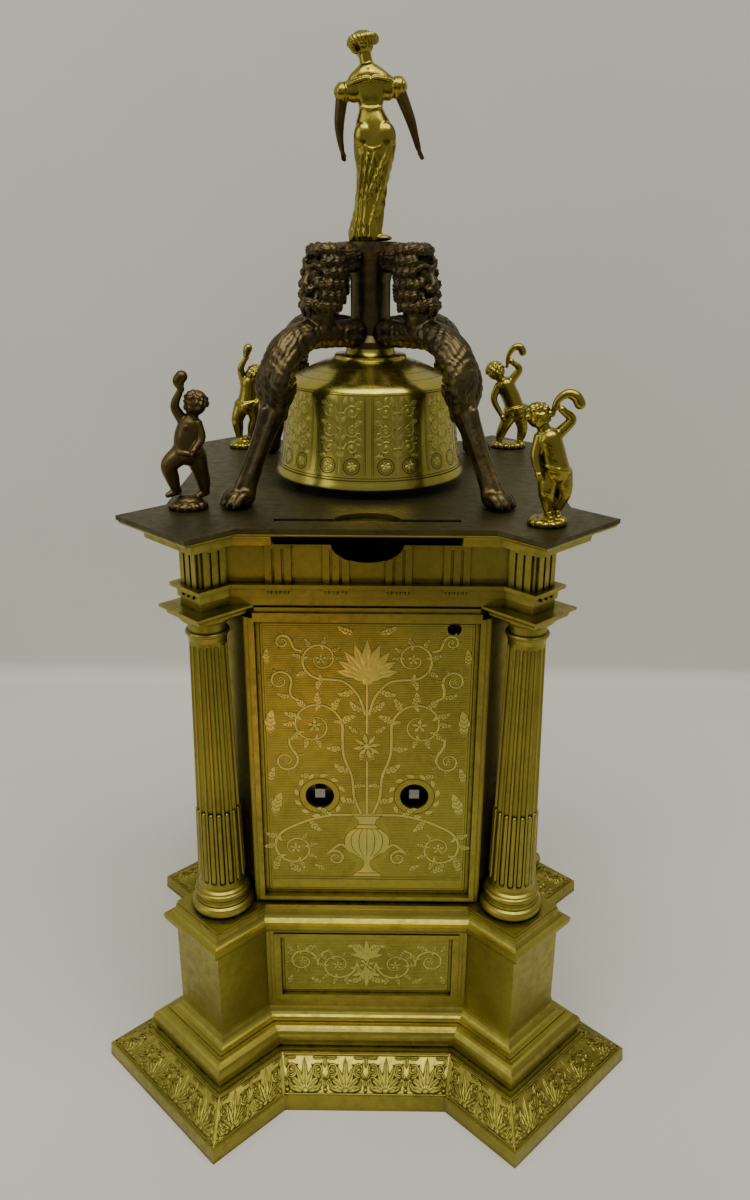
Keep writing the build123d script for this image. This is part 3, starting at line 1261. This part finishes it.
def crown_wheel():
    disc = crossed(Circle(CROWN_R), CROWN_R - CROWN_RIM, 3.2, 1.6, TRAIN_ARBOR_R)
    body = flat_wheel(disc, CROWN_AT, (CROWN_Y[1] - 1.2, CROWN_Y[1]))
    body += flat_wheel(Circle(CROWN_R) - Circle(CROWN_R - CROWN_RIM), CROWN_AT, CROWN_Y)
    tooth_w = 2 * pi * CROWN_R / CROWN_TEETH * 0.42
    overlap = 0.6
    corners = [(-tooth_w / 2, overlap), (tooth_w / 2, overlap), (tooth_w / 2 - 0.2, CROWN_TIP_Y - CROWN_Y[0])]
    tooth = Plane.XY * Polygon(*corners, align=None)
    tooth = extrude(tooth, CROWN_RIM - 0.5)
    for i in range(CROWN_TEETH):
        piece = Pos(0, 0, CROWN_R - CROWN_RIM + 0.2) * tooth
        piece = Rot(0, 360 / CROWN_TEETH * i, 0) * piece
        body += Pos(CROWN_AT[0], CROWN_Y[0], CROWN_AT[1]) * piece
    pinion = (SECOND_Y[0] - 0.6, SECOND_Y[1] + 0.6)
    body += flat_wheel(toothed(PINION_LEAVES, MODULE, CROWN_PINION_PHASE), CROWN_AT, pinion)
    arbor = (POTENCE_NOSE_Y[0] + END_SHAKE, FRONT_PLATE_Y - END_SHAKE)
    return body + rod_y(CROWN_AT[0], arbor, CROWN_AT[1], TRAIN_ARBOR_R)


def verge_balance():
    x = CROWN_AT[0]
    z = CROWN_AT[1]
    staff = rod_z(x, VERGE_Y, (VERGE_LOW, VERGE_TOP), VERGE_R)
    for height, angle in ((z + CROWN_R - CROWN_RIM / 2, 50), (z - CROWN_R + CROWN_RIM / 2, -50)):
        flag = block((0, PALLET_L), (-0.3, 0.3), (-1.0, 1.0))
        staff += Pos(x, VERGE_Y, height) * Rot(0, 0, 90 + angle) * flag
    rim = Circle(BALANCE_R) - Circle(BALANCE_R - BALANCE_RIM)
    rim += Rectangle(2 * BALANCE_R - 1, 2.0)
    rim += Circle(2.6)
    wheel = extrude(Pos(x, VERGE_Y, BALANCE_Z) * rim, BALANCE_THICK)
    return staff + wheel


def balance_cock():
    """Bridge over the balance, standing on the two plates."""
    x = CROWN_AT[0]
    ys = (BACK_PLATE_Y, FRONT_PLATE_Y)
    bridge = block((x - COCK_HALF, x + COCK_HALF), ys, COCK_Z)
    bridge += block((x - COCK_HALF, x + COCK_HALF), (ys[0], ys[0] + PLATE_THICK), (PLATE_TOP_Z, COCK_Z[1]))
    bridge += block((x - COCK_HALF, x + COCK_HALF), (ys[1] - PLATE_THICK, ys[1]), (PLATE_TOP_Z, COCK_Z[1]))
    return bridge - rod_z(x, VERGE_Y, (COCK_Z[0] - 1, COCK_Z[1] + 1), VERGE_R + FIT)


def potence():
    """Bracket on the rear plate with the lower bearing of the verge and the crown wheel's inner one."""
    x = CROWN_AT[0]
    z = CROWN_AT[1]
    back = BACK_PLATE_Y + PLATE_THICK
    near, far = ESCAPE_ARM_X
    foot = block((x - 2, x + 2), (back, VERGE_Y + 2.4), (VERGE_LOW - 1.6, VERGE_LOW + 1.2))
    foot += block((x - 2, x + far), (back, back + 1.6), (VERGE_LOW - 1.6, z + 3))
    foot += block((x + near, x + far), (back, POTENCE_NOSE_Y[0] + 1.0), (z - 1.5, z + 1.5))
    foot += block((x - 1.7, x + far), POTENCE_NOSE_Y, (z - 1.5, z + 1.5))
    foot -= rod_z(x, VERGE_Y, (VERGE_LOW - 0.2, VERGE_LOW + 5), VERGE_R + FIT)
    return foot - rod_y(x, (POTENCE_NOSE_Y[0] - 1, POTENCE_NOSE_Y[1] + 1), z, TRAIN_ARBOR_R + FIT)


def fly():
    x, z = FLY_AT
    body = rod_y(x, (BACK_PLATE_Y + END_SHAKE, FRONT_PLATE_Y - END_SHAKE), z, TRAIN_ARBOR_R)
    pinion = (PIN_WHEEL_Y[0] - 0.5, PIN_WHEEL_Y[1] + 0.5)
    body += flat_wheel(toothed(PINION_LEAVES, MODULE, FLY_PINION_PHASE), FLY_AT, pinion)
    body += block((x - FLY_R, x + FLY_R), FLY_Y, (z - 0.3, z + 0.3))
    return body + rod_y(x, (FLY_Y[0] - 1, FLY_Y[1] + 1), z, TRAIN_ARBOR_R + 0.8)


def count_wheel():
    face = crossed(toothed(COUNT_TEETH, MODULE, COUNT_PHASE), 13.4, 3.6, 2.0, COUNT_STUD_R + FIT)
    return flat_wheel(face, COUNT_AT, COUNT_Y)


def count_stud():
    x, z = COUNT_AT
    stud = rod_y(x, (COUNT_Y[0] - 0.6, BACK_PLATE_Y), z, COUNT_STUD_R)
    stud += rod_y(x, (COUNT_Y[1] + RUN, BACK_PLATE_Y), z, COUNT_STUD_R + 1.1)
    return stud + rod_y(x, (COUNT_Y[0] - 1.4, COUNT_Y[0] - RUN), z, COUNT_STUD_R + 0.9)


def count_detent():
    """Lever whose beak feels the rim of the count wheel."""
    x, z = DETENT_AT
    rim = MODULE * COUNT_TEETH / 2 + ADDENDUM * MODULE + RUN
    beak = (COUNT_AT[0] - rim * cos(radians(10)), COUNT_AT[1] - rim * sin(radians(10)))
    points = [
        (x - 1.6, z),
        (beak[0] - 1.2, beak[1] + 2.4),
        (beak[0], beak[1] + 0.6),
        (beak[0] - 0.9, beak[1] - 1.4),
        (x + 1.6, z),
    ]
    face = Polygon(*[(px - x, pz - z) for px, pz in reversed(points)], align=None) + Circle(CLICK_R)
    return flat_wheel(face - Circle(CLICK_STUD_R + FIT), DETENT_AT, COUNT_Y)


def detent_stud():
    x, z = DETENT_AT
    stud = rod_y(x, (COUNT_Y[0] - 0.6, BACK_PLATE_Y), z, CLICK_STUD_R)
    stud += rod_y(x, (COUNT_Y[1] + 0.2, BACK_PLATE_Y), z, CLICK_STUD_R + 0.9)
    return stud + rod_y(x, (COUNT_Y[0] - 1.2, COUNT_Y[0] - 0.3), z, CLICK_STUD_R + 0.7)


def hammer():
    """Arbor with a tail beside the pins and an arm up through the top plate into the bell."""
    arbor = rod_y(HAMMER_X, (BACK_PLATE_Y + END_SHAKE, FRONT_PLATE_Y - END_SHAKE), HAMMER_Z, HAMMER_R)
    arbor += rod_y(HAMMER_X, (-2.4, 2.4), HAMMER_Z, HAMMER_R + 1.4)
    arm = block((HAMMER_X - 1, HAMMER_X + 1), (-1, 1), (HAMMER_Z, HAMMER_HEAD_Z))
    head = Pos(HAMMER_X + 1.3, 0, HAMMER_HEAD_Z) * Rot(0, 90, 0) * Cylinder(HAMMER_HEAD_R, HAMMER_HEAD_L)
    thick = (PIN_WHEEL_Y[0] - 1.6, PIN_WHEEL_Y[0] - 0.4)
    tail = block((HAMMER_X - 3.6, HAMMER_X - 2.2), thick, (HAMMER_TAIL_Z, HAMMER_Z))
    tail += block((HAMMER_X - 3.6, HAMMER_X), thick, (HAMMER_Z - 1, HAMMER_Z + 1))
    return arbor + arm + head + tail


# Dial side

def hand_y():
    front = WALL_FACE - REBATE_DEPTH + PANEL_THICK + CHAPTER_THICK + HAND_LIFT
    return (front, front + HAND_THICK)


def dial_screw_places():
    half = OPENING_HALF - DIAL_SCREW_INSET
    heights = (OPENING_Z[0] + DIAL_SCREW_INSET, OPENING_Z[1] - DIAL_SCREW_INSET)
    return [(x, z) for x in (-half, half) for z in heights]


def dial_plate():
    half = OPENING_HALF - PANEL_GAP
    low, high = OPENING_Z
    face = WALL_FACE - REBATE_DEPTH
    plate = block((-half, half), (face, face + PANEL_THICK), (low + PANEL_GAP, high - PANEL_GAP))
    plate -= rod_y(DIAL_AT[0], (face - 1, face + 5), DIAL_AT[1], HOUR_PIPE_R + RUN)
    for x, z in dial_screw_places():
        plate -= rod_y(x, (face - 1, face + 5), z, DIAL_SCREW_R + FIT)
    return plate


def dial_screws():
    face = WALL_FACE - REBATE_DEPTH + PANEL_THICK
    screws = []
    for x, z in dial_screw_places():
        shank = rod_y(x, (face - PANEL_THICK - 0.9, face), z, DIAL_SCREW_R)
        screws.append(shank + rod_y(x, (face, face + 0.5), z, DIAL_SCREW_R + 0.25))
    return screws


def chapter_ring():
    face = WALL_FACE - REBATE_DEPTH + PANEL_THICK
    ring = flat_wheel(Circle(CHAPTER_R) - Circle(CHAPTER_IN_R), DIAL_AT, (face, face + CHAPTER_THICK))
    edge = Circle(CHAPTER_IN_R + 0.8) - Circle(CHAPTER_IN_R)
    inner = flat_wheel(edge, DIAL_AT, (face, face + CHAPTER_THICK + 0.3))
    return ring + inner


def hour_wheel():
    face = crossed(toothed(HOUR_TEETH, HOUR_MODULE, HOUR_PHASE), 16.4, 5.0, 2.4, HOUR_STUD_R + FIT)
    body = flat_wheel(face, DIAL_AT, HOUR_Y)
    body += rod_y(DIAL_AT[0], (HOUR_Y[1], hand_y()[1]), DIAL_AT[1], HOUR_PIPE_R)
    return body - rod_y(DIAL_AT[0], (0, 60), DIAL_AT[1], HOUR_STUD_R + FIT)


def hour_hand():
    tail = 10.0
    outline_points = [
        (-1.0, -tail), (1.0, -tail), (2.2, -tail + 2.6), (1.0, -4.0), (1.3, 4.0), (1.1, 14.0),
        (3.0, 18.0), (1.2, 21.0), (0.2, HAND_L), (-0.2, HAND_L), (-1.2, 21.0), (-3.0, 18.0),
        (-1.1, 14.0), (-1.3, 4.0), (-1.0, -4.0), (-2.2, -tail + 2.6),
    ]
    face = Polygon(*outline_points, align=None) + Circle(4.4)
    return flat_wheel(face - Circle(HOUR_PIPE_R + FIT), DIAL_AT, hand_y())


def hand_nut():
    front = hand_y()[1] + 0.2
    nut = rod_y(DIAL_AT[0], (front, front + 1.4), DIAL_AT[1], 2.6)
    return nut - rod_y(DIAL_AT[0], (front - 1, front + 3), DIAL_AT[1], HOUR_STUD_R + FIT)


def small_screws():
    return Compound(children=bracket_screws() + movement_screws() + dial_screws() + [hand_nut()])


def build():
    nodes = {
        "base_plinth": base_plinth(),
        "floor_plate": floor_plate(),
        "tie_rods": tie_rods(),
        "pedestal_frame": pedestal_frame(),
        "pedestal_cap": pedestal_cap(),
        "body_frame": body_frame(),
        "back_panel": back_panel(),
        "door_right": side_door(1),
        "door_left": side_door(-1),
        "door_latch_right": door_latch(1),
        "door_latch_left": door_latch(-1),
        "hinge_pins": hinge_pins(),
        "architrave": architrave(),
        "frieze": frieze(),
        "cornice": cornice(),
        "top_plate": top_plate(),
        "bell": bell(),
        "bell_bolt": bell_bolt(),
        "bracket_hub": bracket_hub(),
        "statue": standing_figure(),
        "movement_platform": platform(),
        "movement_back_plate": movement_plate(False),
        "movement_front_plate": movement_plate(True),
        "going_barrel": going_barrel(),
        "going_winding_arbor": winding_arbor(GOING_AT, FRONT_PLATE_Y - END_SHAKE, GOING_RATCHET_Y, 1),
        "going_click": click(GOING_AT, GOING_RATCHET_Y, 1),
        "going_second_wheel": going_second_wheel(),
        "crown_wheel": crown_wheel(),
        "verge_balance": verge_balance(),
        "balance_cock": balance_cock(),
        "escapement_potence": potence(),
        "striking_barrel": striking_barrel(),
        "striking_winding_arbor": winding_arbor(STRIKE_AT, FRONT_PLATE_Y - END_SHAKE, STRIKE_RATCHET_Y, -1),
        "striking_click": click(STRIKE_AT, STRIKE_RATCHET_Y, -1),
        "pin_wheel": pin_wheel(),
        "fly": fly(),
        "count_wheel": count_wheel(),
        "count_detent": count_detent(),
        "hammer": hammer(),
        "dial_plate": dial_plate(),
        "small_screws": small_screws(),
        "chapter_ring": chapter_ring(),
        "hour_wheel": hour_wheel(),
        "hour_hand": hour_hand(),
    }
    for side, name in enumerate(("back", "right", "front", "left")):
        nodes["pedestal_panel_" + name] = pedestal_panel(side)
    pillar = column()
    bracket = beast_bracket()
    for turn, name in enumerate(("front_right", "front_left", "back_left", "back_right")):
        nodes["column_" + name] = Rot(0, 0, 90 * turn) * Pos(COLUMN_AT, COLUMN_AT, 0) * pillar
        nodes["beast_bracket_" + name] = Rot(0, 0, 45 + 90 * turn) * bracket
    for name, spec in PUTTI.items():
        nodes[name] = putto(spec)
    return nodes


os.makedirs("parts", exist_ok=True)
for node, shape in build().items():
    export_step(shape, os.path.join("parts", node + ".step"))
print("nodes written:", len(os.listdir("parts")))
